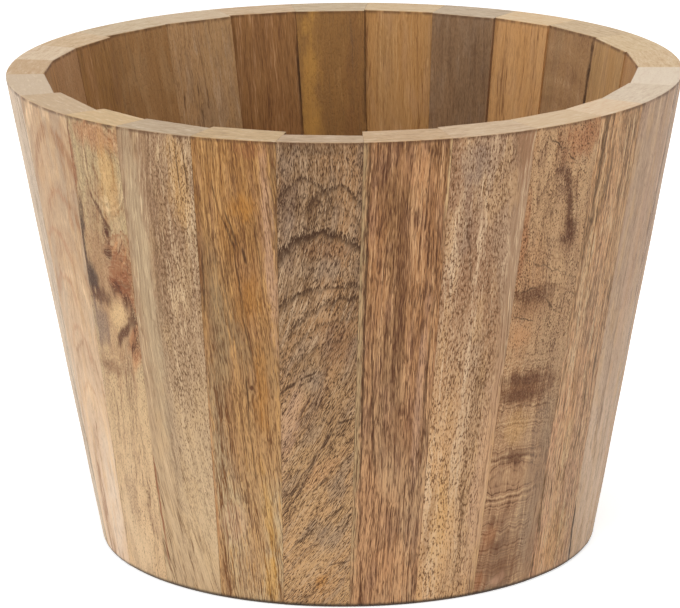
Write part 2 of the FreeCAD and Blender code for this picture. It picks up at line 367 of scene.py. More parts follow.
def reachOf(tree, vector, across, along, halfWidth, halfLength, turn):
    # the mark's own frame, and the distance from its middle
    size = (halfWidth, markForm["depth"], halfLength)
    moved = place(tree, vector, (across, 0, along), (0, math.radians(turn), 0), size)
    return moved, distance(tree, moved)


def ringField(tree, vector, wood):
    # distance from the ring centre, then uneven ring lines along it
    reach = distance(tree, place(tree, vector, wood["heart"], (0, 0, 0), wood["heartSize"]))
    return ringNoise(tree, calc(tree, "DIVIDE", reach, wood["ringSpacing"]))


def knotBend(tree, vector, knots):
    # the grain bulges out round each knot
    bulge = markForm["bulge"]
    for _, across, along, halfWidth, halfLength, turn, _ in knots:
        reach = reachOf(tree, vector, across, along, halfWidth * bulge, halfLength * bulge, turn)[1]
        push = fade(tree, reach, *markForm["bulgeEdge"], 0.0, markForm["bulgePush"])
        parts = put(tree, "SeparateXYZ", {0: vector}).outputs
        offset = calc(tree, "SUBTRACT", parts[0], across)
        moved = calc(tree, "SUBTRACT", parts[0], calc(tree, "MULTIPLY", offset, push))
        vector = put(tree, "CombineXYZ", {0: moved, 1: parts[1], 2: parts[2]}).outputs[0]
    return vector


def knotShare(tree, wander, ragged, across, along, halfWidth, halfLength, turn, share):
    # uneven rings round a dark middle
    reach = reachOf(tree, wander, across, along, halfWidth, halfLength, turn)[1]
    reach = calc(tree, "MULTIPLY_ADD", ragged, markForm["knotRagged"], reach)
    rings = ringNoise(tree, calc(tree, "MULTIPLY_ADD", reach, markForm["knotRings"], across))
    rings = fade(tree, rings, *markForm["knotLines"], markForm["knotBetween"], 1.0)
    lines = calc(tree, "MAXIMUM", rings, fade(tree, reach, *markForm["knotCore"]))
    return calc(tree, "MULTIPLY", lines, fade(tree, reach, *markForm["knotEdge"], 0.0, share))


def stainShare(tree, wander, ragged, across, along, halfWidth, halfLength, turn, share):
    # a soft patch on the face, feathered along the grain
    reach = reachOf(tree, wander, across, along, halfWidth, halfLength, turn)[1]
    reach = calc(tree, "MULTIPLY_ADD", ragged, markForm["stainRagged"], reach)
    return fade(tree, reach, *markForm["stainEdge"], 0.0, share)


def archShare(tree, wander, ragged, across, along, halfWidth, rise, turn, line, share):
    # the upper edge of an oval, as a broken line that fades out at its feet
    moved, reach = reachOf(tree, wander, across, along, halfWidth, rise, turn)
    off = calc(tree, "SUBTRACT", reach, 1.0)
    off = calc(tree, "MULTIPLY_ADD", ragged, line * markForm["archRagged"], off)
    edge = fade(tree, calc(tree, "ABSOLUTE", off), line, 0.0, 0.0, share)
    upper = fade(tree, put(tree, "SeparateXYZ", {0: moved}).outputs[2], *markForm["archFeet"])
    return calc(tree, "MULTIPLY", edge, upper)


def makeWood(name, matrix, wood, seed, stains=(), arches=(), knots=()):
    made = bpy.data.materials.new(name)
    made.use_nodes = True
    tree = made.node_tree
    tree.nodes.clear()
    coords = put(tree, "TexCoord").outputs["Object"]
    local = place(tree, coords, matrix.to_translation(), matrix.to_euler(), (mm, mm, mm))
    places = put(tree, "SeparateXYZ", {0: local}).outputs

    def layer(kind, vector, output="Fac"):
        size, shift, detail, rough = layers[kind]
        return cloud(tree, vector, size, seed + shift, detail, rough, output)

    # the grain wanders in long sweeps and small ripples, and leans where the board was cut across it
    half = (0.5, 0.5, 0.5)
    sweep = calcVector(tree, "SUBTRACT", layer("sweep", local, "Color"), half)
    ripple = calcVector(tree, "SUBTRACT", layer("ripple", local, "Color"), half)
    wave = wood["wave"]
    fine = wood["ripple"]
    markWave = wave * ragging["markWave"]
    markRipple = tuple(fine * part for part in ragging["markRipple"])
    wander = calcVector(tree, "MULTIPLY_ADD", sweep, (markWave, markWave, markWave), local)
    wander = calcVector(tree, "MULTIPLY_ADD", ripple, markRipple, wander)
    bent = knotBend(tree, local, knots)
    bent = calcVector(tree, "MULTIPLY_ADD", sweep, (wave, wave, wave), bent)
    bent = calcVector(tree, "MULTIPLY_ADD", ripple, (fine, fine, fine), bent)
    slope, curl = wood["lean"]
    if slope or curl:
        parts = put(tree, "SeparateXYZ", {0: bent}).outputs
        lean = calc(tree, "MULTIPLY", calc(tree, "MULTIPLY_ADD", parts[2], curl, slope), parts[2])
        across = calc(tree, "SUBTRACT", parts[0], lean)
        bent = put(tree, "CombineXYZ", {0: across, 1: parts[1], 2: parts[2]}).outputs[0]

    # the planed inner faces are plainer than the outside
    plain = fade(tree, places[1], *fades["innerFace"], 1.0, finishAndShade["innerShare"])
    plainGrain = fade(tree, places[1], *fades["innerFace"], 1.0, finishAndShade["innerGrain"])
    streaks = centred(tree, layer("streaks", bent))
    fibre = centred(tree, layer("fibre", bent))
    rings = centred(tree, ringField(tree, wander, wood))
    rings = calc(tree, "MULTIPLY", rings, spanShare(tree, places, wood["ringSpan"]))
    grain = calc(tree, "MULTIPLY_ADD", layer("slow", bent), wood["slow"], 0.5 - 0.5 * wood["slow"])
    grain = calc(tree, "MULTIPLY_ADD", streaks, wood["streaks"], grain)
    grain = calc(tree, "MULTIPLY_ADD", fibre, wood["fibre"], grain)
    grain = calc(tree, "MULTIPLY_ADD", rings, wood["rings"], grain)
    grain = calc(tree, "MULTIPLY_ADD", centred(tree, grain), plainGrain, 0.5)

    # mid fades to low towards the foot: partly the wood's own tone, partly painted light, the paler foot
    # of the front staves standing in for light from the floor
    middle = tint(tree, fade(tree, places[2], *fades["toneAndLightTowardsFoot"]), rgb(*wood["mid"]), rgb(*wood["low"]))
    patches = fade(tree, layer("patches", bent), *fades["patches"], 0.0, wood["patchShare"])
    middle = tint(tree, calc(tree, "MULTIPLY", patches, plainGrain), middle, rgb(*wood["patch"]))
    tinges = fade(tree, layer("tinges", bent), *fades["tinges"], 0.0, wood["tingeShare"])
    middle = tint(tree, calc(tree, "MULTIPLY", tinges, plainGrain), middle, rgb(*wood["tinge"]))
    colour = tint(tree, fade(tree, grain, *fades["darkGrain"]), middle, rgb(*wood["dark"]))
    colour = tint(tree, fade(tree, grain, *fades["paleGrain"]), colour, rgb(*wood["pale"]))

    # stains first, so that lines and pores run through them
    blotch = centred(tree, layer("blotch", local))
    ragged = calc(tree, "MULTIPLY_ADD", fibre, ragging["fibre"], streaks)
    ragged = calc(tree, "MULTIPLY_ADD", blotch, ragging["blotch"], ragged)
    for tone, *form in stains:
        colour = tint(tree, stainShare(tree, wander, ragged, *form), colour, rgb(*stainColours[tone]))
    for tone, *form in knots:
        colour = tint(tree, knotShare(tree, wander, ragged, *form), colour, rgb(*stainColours[tone]))

    # long thin dark lines, then pores: short dashes with pale fibres between, thicker in some places
    width, length, level, share = wood["lines"]
    thread = cloud(tree, bent, (width, width, length), seed + lineSeed)
    thread = fade(tree, thread, level, level - ragging["poreEdge"], 0.0, share)
    thread = calc(tree, "MULTIPLY", thread, spanShare(tree, places, wood["lineSpan"]))
    thread = calc(tree, "MULTIPLY", thread, plain)
    colour = tint(tree, thread, colour, rgb(*wood["poreColour"]))
    width, length, level, share = wood["pores"]
    cells = cloud(tree, bent, (width, width, length), seed + poreSeed, rough=0.6)
    crowd = centred(tree, layer("crowd", bent))
    cells = calc(tree, "MULTIPLY_ADD", crowd, ragging["poreCrowding"], cells)
    shown = calc(tree, "MULTIPLY", plain, spanShare(tree, places, wood["poreSpan"]))
    pore = fade(tree, cells, level, level - ragging["poreEdge"], 0.0, share)
    colour = tint(tree, calc(tree, "MULTIPLY", pore, shown), colour, rgb(*wood["poreColour"]))
    gleam = fade(tree, cells, *fades["gleam"], 0.0, share * ragging["gleamShare"])
    colour = tint(tree, calc(tree, "MULTIPLY", gleam, shown), colour, rgb(*wood["pale"]))
    dashes = fade(tree, cells, *fades["dashes"], ragging["dashGap"], 1.0)
    jagged = calc(tree, "MULTIPLY_ADD", centred(tree, cells), ragging["pores"] * share, ragged)
    for tone, *form in arches:
        broken = calc(tree, "MULTIPLY", archShare(tree, wander, jagged, *form), dashes)
        colour = tint(tree, broken, colour, rgb(*stainColours[tone]))

    # painted shadow: a broken dark line under the rim's edge
    height = calc(tree, "DIVIDE", put(tree, "SeparateXYZ", {0: coords}).outputs[2], mm)
    lineStart = potHeight - finishAndShade["rimShadowDepth"]
    lineFull = potHeight - finishAndShade["rimShadowFull"]
    underRimShade = fade(tree, height, lineStart, lineFull, 0.0, finishAndShade["rimShadowShare"])
    breaks = fade(tree, blotch, *fades["rimBreaks"], ragging["rimGap"], 1.0)
    colour = tint(tree, calc(tree, "MULTIPLY", underRimShade, breaks), colour, rgb(*finishAndShade["rimShadow"]))

    # the sawn ends are paler, mottled and stroked
    endGrain = layer("endGrain", local)
    endColour = rgb(*between(wood["mid"], wood["end"], finishAndShade["endShare"]))
    endDark = fade(tree, endGrain, *fades["endDark"], 0.0, finishAndShade["endDarkShare"])
    endColour = tint(tree, endDark, endColour, rgb(*wood["mid"]))
    endPale = fade(tree, endGrain, *fades["endPale"], 0.0, finishAndShade["endPaleShare"])
    endColour = tint(tree, endPale, endColour, rgb(*finishAndShade["endPale"]))
    strokes = fade(tree, layer("strokes", local), *fades["strokes"], 0.0, finishAndShade["strokeShare"])
    endColour = tint(tree, strokes, endColour, rgb(*wood["mid"]))
    topShare = fade(tree, height, potHeight - finishAndShade["endTop"], potHeight - finishAndShade["endFull"])
    footShare = fade(tree, height, finishAndShade["footTop"], finishAndShade["endFull"])
    endShare = calc(tree, "MAXIMUM", topShare, footShare)
    colour = tint(tree, endShare, colour, endColour)

    # painted contact shadow: a dark line along the foot, on the turned face only
    footShadow = fade(tree, height, finishAndShade["footShadowHeight"], finishAndShade["footShadowFull"], 0.0, finishAndShade["footShadowShare"])
    footShadow = calc(tree, "MULTIPLY", footShadow, fade(tree, places[1], *fades["footFace"]))
    colour = tint(tree, footShadow, colour, rgb(*finishAndShade["footShadow"]))

    lowRough = finishAndShade["roughness"] - finishAndShade["roughSpread"] / 2
    rough = calc(tree, "MULTIPLY_ADD", grain, finishAndShade["roughSpread"], lowRough)
    level = calc(tree, "MAXIMUM", fade(tree, cells, *fades["hollows"]), endShare)
    bump = {"Strength": finishAndShade["bump"], "Distance": finishAndShade["bumpDepth"], "Height": level}
    normal = put(tree, "Bump", bump).outputs[0]
    shader = put(tree, "BsdfPrincipled", {"Base Color": colour, "Roughness": rough, "Normal": normal,
                                          "Specular IOR Level": finishAndShade["specular"],
                                          "Sheen Weight": finishAndShade["sheen"]})
    put(tree, "OutputMaterial", {"Surface": shader.outputs[0]})
    return made


# staves: one block each, sawn to the seams of its CAD node, turned outside and planed flat inside
stave = {
    "rimRadius": 126.0, "footRadius": 94.0,
    "rimRound": 0.7, "rimInnerRound": 0.6, "footRound": 1.5, "footInnerRound": 0.8,
    "roundSegments": 3,
    "grooveLow": 6.0, "grooveHigh": 18.1, "grooveRadius": 88.13,
    "seamEase": 0.15, "seamSegments": 2,
    "slices": 22, "rowStep": 6.0,
    "wander": 0.16, "wanderSize": 26.0, "seedStep": 3.7,
    "facing": 0.9,  # least cosine between a face and the way it has to look
    "sameSlice": 0.001,
}
# each stave: its wood and what differs from it; stains and knots are colour, across, along, half width,
# half length, turn, share; arches are colour, across, along, half width, rise, turn, line width, share
staves = {
    "stave_01": {
        "wood": "knotty_brown", "mid": (176, 151, 112), "low": (218, 188, 149), "pale": (222, 190, 146),
        "end": (216, 180, 132), "heart": (4, 8, 74), "heartSize": (1, 1, 1.6), "ringSpacing": 1.6,
        "rings": 0.9, "ringSpan": (("z", 46, 60),), "slow": 0.5, "streaks": 0.42, "fibre": 0.68,
        "pores": (0.36, 1.0, 0.45, 0.47), "lines": (0.4, 16.0, 0.42, 0.07),
        "patch": (208, 166, 118), "patchShare": 0.3, "wave": 7.0,
        "stains": [
            ("russet", 3, 86, 13, 7, 0, 0.6), ("honey", 6, 70, 6, 18, 0, 0.5),
            ("rosewood", -13.2, 70, 2.2, 18, 3, 0.85), ("rosewood", 0, 28, 19, 42, 0, 0.45),
            ("russet", 8, 38, 8, 18, 0, 0.45), ("knot", 0.6, 56, 1.1, 9, -32, 0.8),
            ("brown", 9, 38, 6.5, 12, 0, 0.4), ("apricot", 6, 45, 0.8, 6, 28, 0.7),
            ("knot", 7.5, 43, 0.6, 7, 24, 0.7), ("apricot", 9.5, 40, 0.7, 7, 20, 0.6),
            ("knot", 11, 38, 0.6, 8, 14, 0.6), ("resin", -13, 43, 2.0, 16, 7, 0.9),
            ("resin", -10.5, 29, 4.6, 8.5, -8, 0.95), ("knot", -7, 22, 9, 4.2, 0, 0.8),
            ("knot", 6.5, 28.5, 5.5, 3.6, 0, 0.8), ("slate", -9, 10, 6.5, 11, 0, 0.75),
            ("cream", 2.6, 16.4, 5.2, 8.4, 18, 0.85), ("knot", 5.0, 10, 2.0, 11, 37, 0.9),
            ("brown", -5, -7, 10, 3.4, 0, 0.5), ("umber", 2.6, 49, 1.6, 3.4, -10, 0.9),
            ("umber", 2.0, 40.5, 1.8, 2.6, 0, 0.75), ("russet", 10.5, 10, 2.4, 8, 25, 0.7),
            ("apricot", 9.5, 2, 3.2, 9, 0, 0.65), ("knot", 8.6, 3.5, 0.8, 4.5, 12, 0.8),
        ],
        "knots": [
            ("knot", 2.4, 49, 3.2, 5, -10, 0.95), ("knot", 1.8, 40.5, 3.4, 4.5, 0, 0.85),
            ("rosewood", 8, 33, 8, 10, 20, 0.85),
        ],
        "arches": [
            ("knot", 2.5, 16, 13, 8.5, 75, 0.34, 0.9), ("rosewood", 2.5, 15, 16, 11.5, 75, 0.16, 0.75),
            ("rosewood", 8, 44, 5, 7, 20, 0.2, 0.7), ("rosewood", 9, 35, 6, 7, -30, 0.2, 0.7),
        ],
    },
    "stave_02": {
        "wood": "olive_tan", "mid": (145, 112, 83), "low": (203, 174, 136), "end": (200, 178, 146),
        "lean": (-0.10, 0.001), "slow": 0.4, "streaks": 0.6, "fibre": 1.05,
        "lines": (0.4, 30.0, 0.46, 0.38), "lineSpan": (("x", 3, -4),),
        "pores": (0.38, 1.3, 0.47, 0.78), "poreSpan": (("x", -8, 2), ("z", -110, 0)),
        "stains": [
            ("sage", -9, 40, 5, 75, -3, 0.5), ("honey", 10, 74, 5, 22, 0, 0.45),
            ("brown", 2, 62, 2.5, 14, 0, 0.25), ("umber", 9.9, 80, 0.35, 11, -2, 0.8),
            ("umber", 12.9, 80, 0.35, 11, -3, 0.8), ("umber", 7.6, 83, 0.3, 8, -2, 0.6),
            ("rosewood", -12.4, -56, 0.6, 32, -4, 0.85), ("ash", -2, -26, 3, 30, 0, 0.3),
        ],
    },
    "stave_03": {
        "wood": "golden_tan", "mid": (126, 94, 60), "low": (201, 174, 134), "end": (220, 188, 142),
        "pale": (192, 146, 92), "patch": (180, 124, 62), "tinge": (168, 126, 90),
        "lean": (-0.08, 0.0), "lines": (0.36, 40.0, 0.46, 0.66), "pores": (0.3, 3.0, 0.47, 0.58),
        "stains": [
            ("rosewood", 6, 88, 7, 4, 0, 0.45), ("olive", -8, 20, 4, 34, 0, 0.4),
            ("amber", 3, 66, 6, 6, 0, 0.6), ("amber", 3.5, 31, 6, 13, 0, 0.45),
            ("amber", 7, -5, 3, 22, 0, 0.5), ("blush", 12, 52, 2.6, 44, -2, 0.55),
            ("apricot", -13.2, -30, 1.0, 60, -2, 0.5), ("blush", -5, -60, 6, 9, 0, 0.4),
            ("yolk", 8.3, -56, 2.6, 22, -5, 0.5), ("yolk", 8.0, -80, 2.8, 12, 0, 0.55),
            ("umber", -7.1, 69, 0.45, 9, -15, 0.75), ("umber", -3.0, 56.5, 0.45, 8, -20, 0.8),
            ("umber", 0.8, 35, 0.5, 20, -6.5, 0.8), ("umber", 2.6, 15, 0.45, 14, -9, 0.7),
            ("umber", -1.8, 58, 0.5, 13, -18, 0.75), ("umber", 2.6, 48, 0.7, 5, -16, 0.9),
            ("umber", 8.2, 47, 0.4, 22, -5.5, 0.55), ("umber", -13, 35, 0.45, 22, 0, 0.65),
            ("umber", 1.6, -6, 0.45, 14, -2, 0.8), ("umber", 3.2, -32, 0.45, 12, -5, 0.75),
            ("knot", 3.2, -4, 0.8, 1.2, 0, 0.9),
        ],
    },
    "stave_04": {
        "wood": "grey_brown", "mid": (127, 95, 64), "low": (197, 156, 109), "end": (208, 180, 148),
        "lean": (0.38, -0.0021), "wave": 3.0, "pores": (0.28, 1.7, 0.48, 0.88),
        "stains": [
            ("slate", -11, 62, 4, 26, 0, 0.35), ("brown", 3, 51, 12, 4, 0, 0.35),
            ("ash", 2, 43, 10, 5, 0, 0.3), ("brown", 7, 14, 8, 12, 0, 0.4),
            ("ash", -2.8, 0.4, 5, 6, 30, 0.4), ("ash", 8.2, -42.9, 4, 6, 30, 0.5),
            ("ash", 2, -61, 8, 6, 40, 0.45), ("blush", -10, -20, 4, 22, 10, 0.45),
            ("apricot", 2, -36, 4, 12, 35, 0.35), ("amber", 1.8, -81, 2.2, 4.5, 10, 0.6),
            # the first umber band on the next line, full width just under the rim, is a painted shadow
            # line under the rim's edge
            ("umber", 0, 88.5, 15, 2.5, 0, 0.5), ("umber", -9.7, -3.1, 0.6, 5, 46, 0.8),
            ("umber", -2.7, 2.0, 0.6, 4, 63, 0.75), ("umber", 9.7, -15.5, 0.6, 3.4, 63, 0.8),
            ("umber", 3.9, -22, 0.6, 6, 30, 0.8), ("umber", -1.8, -33, 0.6, 6.5, 24.5, 0.8),
            ("umber", -8, -44, 0.6, 6.4, 34, 0.75), ("umber", 9.1, -32, 0.6, 4, 45, 0.8),
            ("umber", 1.9, -40.2, 0.6, 6.9, 40, 0.75), ("umber", 6.4, -52, 0.6, 7.5, 45, 0.7),
            ("umber", -4.3, -63, 0.6, 7.8, 44, 0.75), ("umber", 8.4, -72.5, 0.6, 3.8, 73, 0.75),
        ],
        "arches": [
            ("umber", -5, 66, 8.5, 11.5, 0, 0.14, 0.8), ("umber", 5.5, 62, 9.5, 13, 0, 0.15, 0.9),
            ("umber", -5, 60, 8.5, 11, 0, 0.09, 0.5), ("umber", 5.5, 55, 9.5, 12, 0, 0.09, 0.5),
            ("umber", 2.5, 42, 18, 14.8, 0, 0.17, 1.0), ("umber", 2.5, 42, 18, 14.8, 0, 0.12, 0.9),
            ("umber", 16, 19.3, 34, 18.5, 0, 0.08, 0.9), ("umber", 15, 10.7, 26, 22.2, 0, 0.07, 0.85),
            ("umber", 14, 4, 24, 21, 0, 0.05, 0.65), ("umber", 14, -4, 24, 21, 0, 0.05, 0.5),
        ],
    },
    "stave_05": {
        "wood": "red_brown", "mid": (136, 97, 60), "low": (195, 157, 118), "end": (218, 186, 146),
        "lines": (0.36, 26.0, 0.46, 0.75), "pores": (0.28, 4.0, 0.47, 0.68),
        "stains": [
            ("olive", -13.4, 5, 1.8, 120, -1.2, 0.8), ("umber", -11.6, 10, 0.5, 100, -1.2, 0.85),
            ("umber", -14.8, 0, 0.5, 100, -1.2, 0.6), ("umber", -7.5, -10, 0.45, 36, -3.5, 0.8),
            ("brown", 1, 45, 5, 22, 0, 0.35), ("knot", 4.2, 62, 1.3, 5, 5, 0.7),
            ("knot", 6, 14, 1.2, 8, 0, 0.6), ("brown", 2, -20, 7, 16, 0, 0.4),
            ("knot", 3, -13, 2.5, 3.5, 0, 0.7), ("umber", 11.6, 8, 0.5, 26, 2, 0.7),
            ("blush", 9, -10, 1.6, 45, 1.5, 0.5), ("apricot", 3, 80, 8, 10, 0, 0.45),
            ("cream", 15, 76, 0.8, 26, 1.2, 0.8), ("apricot", 4, -76, 8, 16, 0, 0.45),
        ],
    },
    "stave_06": {
        "wood": "pale_tan", "mid": (157, 118, 87), "low": (213, 166, 115), "end": (220, 194, 158),
        "pores": (0.4, 1.5, 0.47, 0.84), "lines": (0.4, 45.0, 0.46, 0.55),
        "lineSpan": (("x", -3, 5), ("z", 50, 15)), "poreSpan": (("x", 12, 7),),
        "stains": [
            ("slate", -6, 82, 6, 10, 0, 0.55), ("slate", -8, 60, 4, 20, 0, 0.35),
            ("umber", -5.2, 45, 0.35, 20, -11, 0.55), ("blush", 9, -40, 4.5, 60, 2, 0.45),
            ("honey", -6, -62, 5, 26, 0, 0.4), ("brown", -9.5, -60, 1.6, 22, 2, 0.4),
        ],
    },
    "stave_07": {
        "wood": "knotty_brown", "mid": (193, 153, 112), "low": (165, 137, 109), "end": (216, 190, 154),
        "heart": (-4, 12, -45), "heartSize": (1.7, 1, 0.8), "ringSpacing": 1.1, "rings": 1.1,
        "ringSpan": (("z", 15, -6), ("x", 12, 4)), "pores": (0.38, 0.9, 0.47, 0.81),
        "poreSpan": (("z", -70, 15),),
        "stains": [
            ("russet", 8, 85, 12, 9, -20, 0.65), ("umber", -5.3, 85, 0.45, 7.5, -53, 0.8),
            ("umber", 2.8, 78.3, 0.5, 3, -44, 0.8), ("russet", -14.2, 49, 2.2, 20, 1, 0.55),
            ("brown", 6.5, 48, 6, 10, 0, 0.5), ("knot", 5.2, 61, 1.7, 15, -15, 0.85),
            ("brown", 7.5, 66, 0.5, 8, -8, 0.6), ("knot", 7.2, 48.5, 3.2, 6.5, -12, 0.8),
            ("knot", 5.0, 46.5, 4.6, 2.6, -25, 0.8), ("brown", -6.5, 25, 13, 8, 0, 0.5),
            ("knot", -7, 27, 11, 4, 0, 0.7), ("umber", 2.4, 21.8, 0.5, 4.5, -45, 0.7),
            ("umber", -9, 29.5, 0.4, 6, 84, 0.7), ("umber", -9, 17.8, 0.45, 5.6, -72, 0.85),
            ("apricot", -10.5, 11, 6, 6, 0, 0.6), ("brown", -4, -10, 18, 8.5, 0, 0.85),
            ("knot", -6, -6.5, 14, 3.0, 3, 0.6), ("knot", -6, -13, 13, 2.4, -3, 0.5),
            ("honey", -5, -25, 6, 8, 0, 0.35), ("brown", -4, -37, 8, 5, 0, 0.4),
            ("knot", -4.2, -37, 8, 3.6, 0, 0.65), ("ash", 8, -40, 6, 26, 0, 0.35),
            ("knot", -9, -62, 3, 3, 0, 0.5), ("brown", -4, -76, 13, 20, 0, 0.5),
            ("blush", -3, -86.0, 2.4, 4.2, 75, 0.95), ("umber", -0.5, 36, 0.4, 14, -66, 0.55),
            ("brown", -2, 41.5, 0.5, 10, -62, 0.5), ("brown", 3, 29, 0.5, 9, -68, 0.45),
            ("russet", -10, -68, 4, 7, 0, 0.35), ("russet", -11, -86, 4, 4, 0, 0.4),
            ("knot", -6, -72, 5, 4, 0, 0.4), ("brown", -1, -83, 8, 7, 0, 0.5),
        ],
        "arches": [("knot", -1, 57, 9.5, 15.5, 0, 0.13, 0.6), ("knot", -0.5, 55, 5, 12, 0, 0.15, 0.5)],
    },
    "stave_08": {
        "wood": "olive_tan", "mid": (207, 157, 111), "low": (217, 166, 130), "end": (224, 204, 174),
        "streaks": 1.6, "lines": (0.4, 45.0, 0.46, 0.56), "pores": (0.34, 3.2, 0.47, 0.6),
        "stains": [
            ("blush", 0, 30, 5, 50, 0, 0.25), ("honey", -3, -40, 4, 40, 0, 0.2),
            ("honey", -1, -78, 9, 16, 0, 0.4),
        ],
    },
    "stave_09": {
        "wood": "pale_tan", "mid": (187, 153, 126), "low": (223, 193, 165), "end": (226, 210, 184),
        "slow": 0.4, "streaks": 0.55, "lines": (0.4, 50.0, 0.44, 0.25), "pores": (0.36, 2.6, 0.45, 0.35),
        "stains": [
            ("umber", -11.5, -78, 1.1, 22, -8, 0.9), ("umber", -11.5, -78, 0.9, 22, -8, 0.9),
            ("blush", 2, 20, 5, 50, 0, 0.3),
        ],
    },
    "stave_10": {
        "wood": "red_brown", "mid": (212, 184, 158), "low": (218, 194, 168), "end": (228, 212, 188),
        "tinge": (190, 152, 122), "patch": (210, 170, 136), "lines": (0.4, 26.0, 0.44, 0.25),
        "pores": (0.34, 4.0, 0.46, 0.34),
    },
    "stave_11": {"wood": "golden_tan", "lean": (0.05, 0.0)},
    "stave_12": {"wood": "golden_tan", "mid": (179, 139, 91), "low": (190, 149, 103)},
    "stave_13": {
        "wood": "knotty_brown", "mid": (157, 123, 84), "low": (164, 130, 92), "heart": (8, 14, -30),
        "stains": [("umber", -12.8, 64, 1.3, 34, -2, 0.95)],
    },
    "stave_14": {"wood": "golden_tan", "mid": (203, 154, 101), "low": (204, 158, 108)},
    "stave_15": {
        "wood": "grey_brown", "mid": (136, 105, 75), "low": (150, 116, 84), "heart": (60, 20, 0),
        "heartSize": (1, 1, 8), "patchShare": 0.2,
    },
    "stave_16": {"wood": "golden_tan", "mid": (174, 130, 80), "low": (178, 134, 86)},
    "stave_17": {
        "wood": "olive_tan", "mid": (142, 102, 57), "low": (150, 106, 62), "patch": (150, 108, 66),
        "tinge": (164, 116, 62), "pale": (172, 128, 78),
        "stains": [
            ("yolk", 9, 0, 5.5, 140, 0, 0.5), ("brown", -8, 0, 5, 120, 0, 0.4),
            ("umber", -13, 62, 0.6, 40, -2, 0.6),
        ],
    },
    "stave_18": {
        "wood": "red_brown", "mid": (147, 104, 61), "low": (146, 102, 64), "patch": (150, 102, 60),
        "tinge": (128, 88, 58), "stains": [("umber", -12.9, 62, 1.3, 40, -2, 0.9)],
    },
    "stave_19": {
        "wood": "grey_brown", "mid": (177, 138, 94), "low": (176, 136, 92), "heart": (50, 25, 0),
        "heartSize": (1, 1, 8), "streaks": 1.3, "fibre": 1.5,
    },
    "stave_20": {
        "wood": "olive_tan", "mid": (160, 118, 73), "low": (160, 114, 68), "patch": (156, 116, 76),
        "pale": (188, 144, 96),
    },
    "stave_21": {"wood": "red_brown", "mid": (158, 115, 65), "low": (162, 112, 66)},
    "stave_22": {
        "wood": "pale_tan", "mid": (178, 132, 88), "low": (190, 150, 110), "patch": (186, 138, 92),
        "tinge": (190, 146, 100),
    },
    "stave_23": {"wood": "golden_tan", "end": (204, 176, 140), "lean": (0.07, 0.0)},
    # stave 24's pale colours are partly painted light: the whitish tone stands in for the veil of grazing
    # light along the pot's left edge
    "stave_24": {
        "wood": "olive_tan", "mid": (212, 190, 166), "low": (220, 200, 176), "end": (198, 172, 140),
        "patch": (206, 182, 156), "tinge": (214, 188, 156), "streaks": 0.55, "fibre": 0.85,
        "lines": (0.4, 40.0, 0.44, 0.2), "pores": (0.36, 1.6, 0.45, 0.28),
    },
    "stave_25": {
        "wood": "pale_tan", "mid": (176, 148, 119), "low": (228, 204, 178), "dark": (158, 114, 78),
        "pale": (230, 196, 156), "end": (204, 174, 136), "patch": (212, 172, 130), "heart": (2, 22, -70),
        "heartSize": (1, 1, 4.5), "ringSpacing": 3.2, "rings": 0.9, "streaks": 0.65, "fibre": 0.8,
        "lines": (0.4, 45.0, 0.43, 0.15), "pores": (0.36, 2.0, 0.43, 0.2),
        "arches": [
            ("russet", -5, 32, 10, 9.5, 10, 0.2, 0.4), ("russet", -4, 12, 8, 12, 8, 0.2, 0.4),
            ("russet", 2, 46, 9, 13, 10, 0.16, 0.35), ("russet", 0, -10, 8, 14, 5, 0.18, 0.35),
            ("russet", 1, -34, 7, 16, 4, 0.16, 0.35),
        ],
    },
}


def around(angle, radius, height):
    return Vector((radius * math.sin(angle), -radius * math.cos(angle), height))


def outerRadius(height):
    return stave["footRadius"] + (stave["rimRadius"] - stave["footRadius"]) * height / potHeight


def widestFace(node, wanted):
    # the largest flat of a CAD node that faces the wanted way, as normal and offset in mm
    faces = [f for f in node.data.polygons if f.normal.dot(wanted) > stave["facing"]]
    best = max(faces, key=lambda f: f.area)
    return best.normal.copy(), best.normal.dot(best.center) / mm


def seamAngle(plane, middle, radius, height):
    # where the circle of that radius and height meets the seam's plane, near the stave's middle
    normal, offset = plane
    across = normal.dot(around(middle + math.pi / 2, 1, 0))
    out = normal.dot(around(middle, 1, 0))
    share = (offset - normal.z * height) / (radius * math.hypot(across, out))
    return middle + math.asin(share) - math.atan2(out, across)


def readStave(name):
    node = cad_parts[name]
    centre = sum((v.co for v in node.data.vertices), Vector()) / len(node.data.vertices)
    middle = math.atan2(centre.x, -centre.y)
    right = around(middle + math.pi / 2, 1, 0)
    normal, offset = widestFace(node, -right)
    return {
        "middle": middle,
        "left": (-normal, -offset),  # turned to face right, as the other seam does
        "right": widestFace(node, right),
        "inner": widestFace(node, -around(middle, 1, 0)),
    }


def innerRadius(shape, angle, height):
    normal, offset = shape["inner"]
    return (offset - normal.z * height) / normal.dot(around(angle, 1, 0))


def bendStave(shape, share, radius, height, seed):
    outer = outerRadius(height)
    depth = (outer - radius) / (outer - innerRadius(shape, shape["middle"], height))
    left = seamAngle(shape["left"], shape["middle"], radius, height)
    right = seamAngle(shape["right"], shape["middle"], radius, height)
    angle = left + (right - left) * share
    reach = outer - depth * (outer - innerRadius(shape, angle, height))
    point = around(angle, reach, height)
    # mostly inwards, so that the turned face keeps the CAD's size
    uneven = noise.noise(Vector(point) / stave["wanderSize"] + Vector((seed, 0, 0)))
    return around(angle, reach + stave["wander"] * (uneven - 0.5), height) * mm


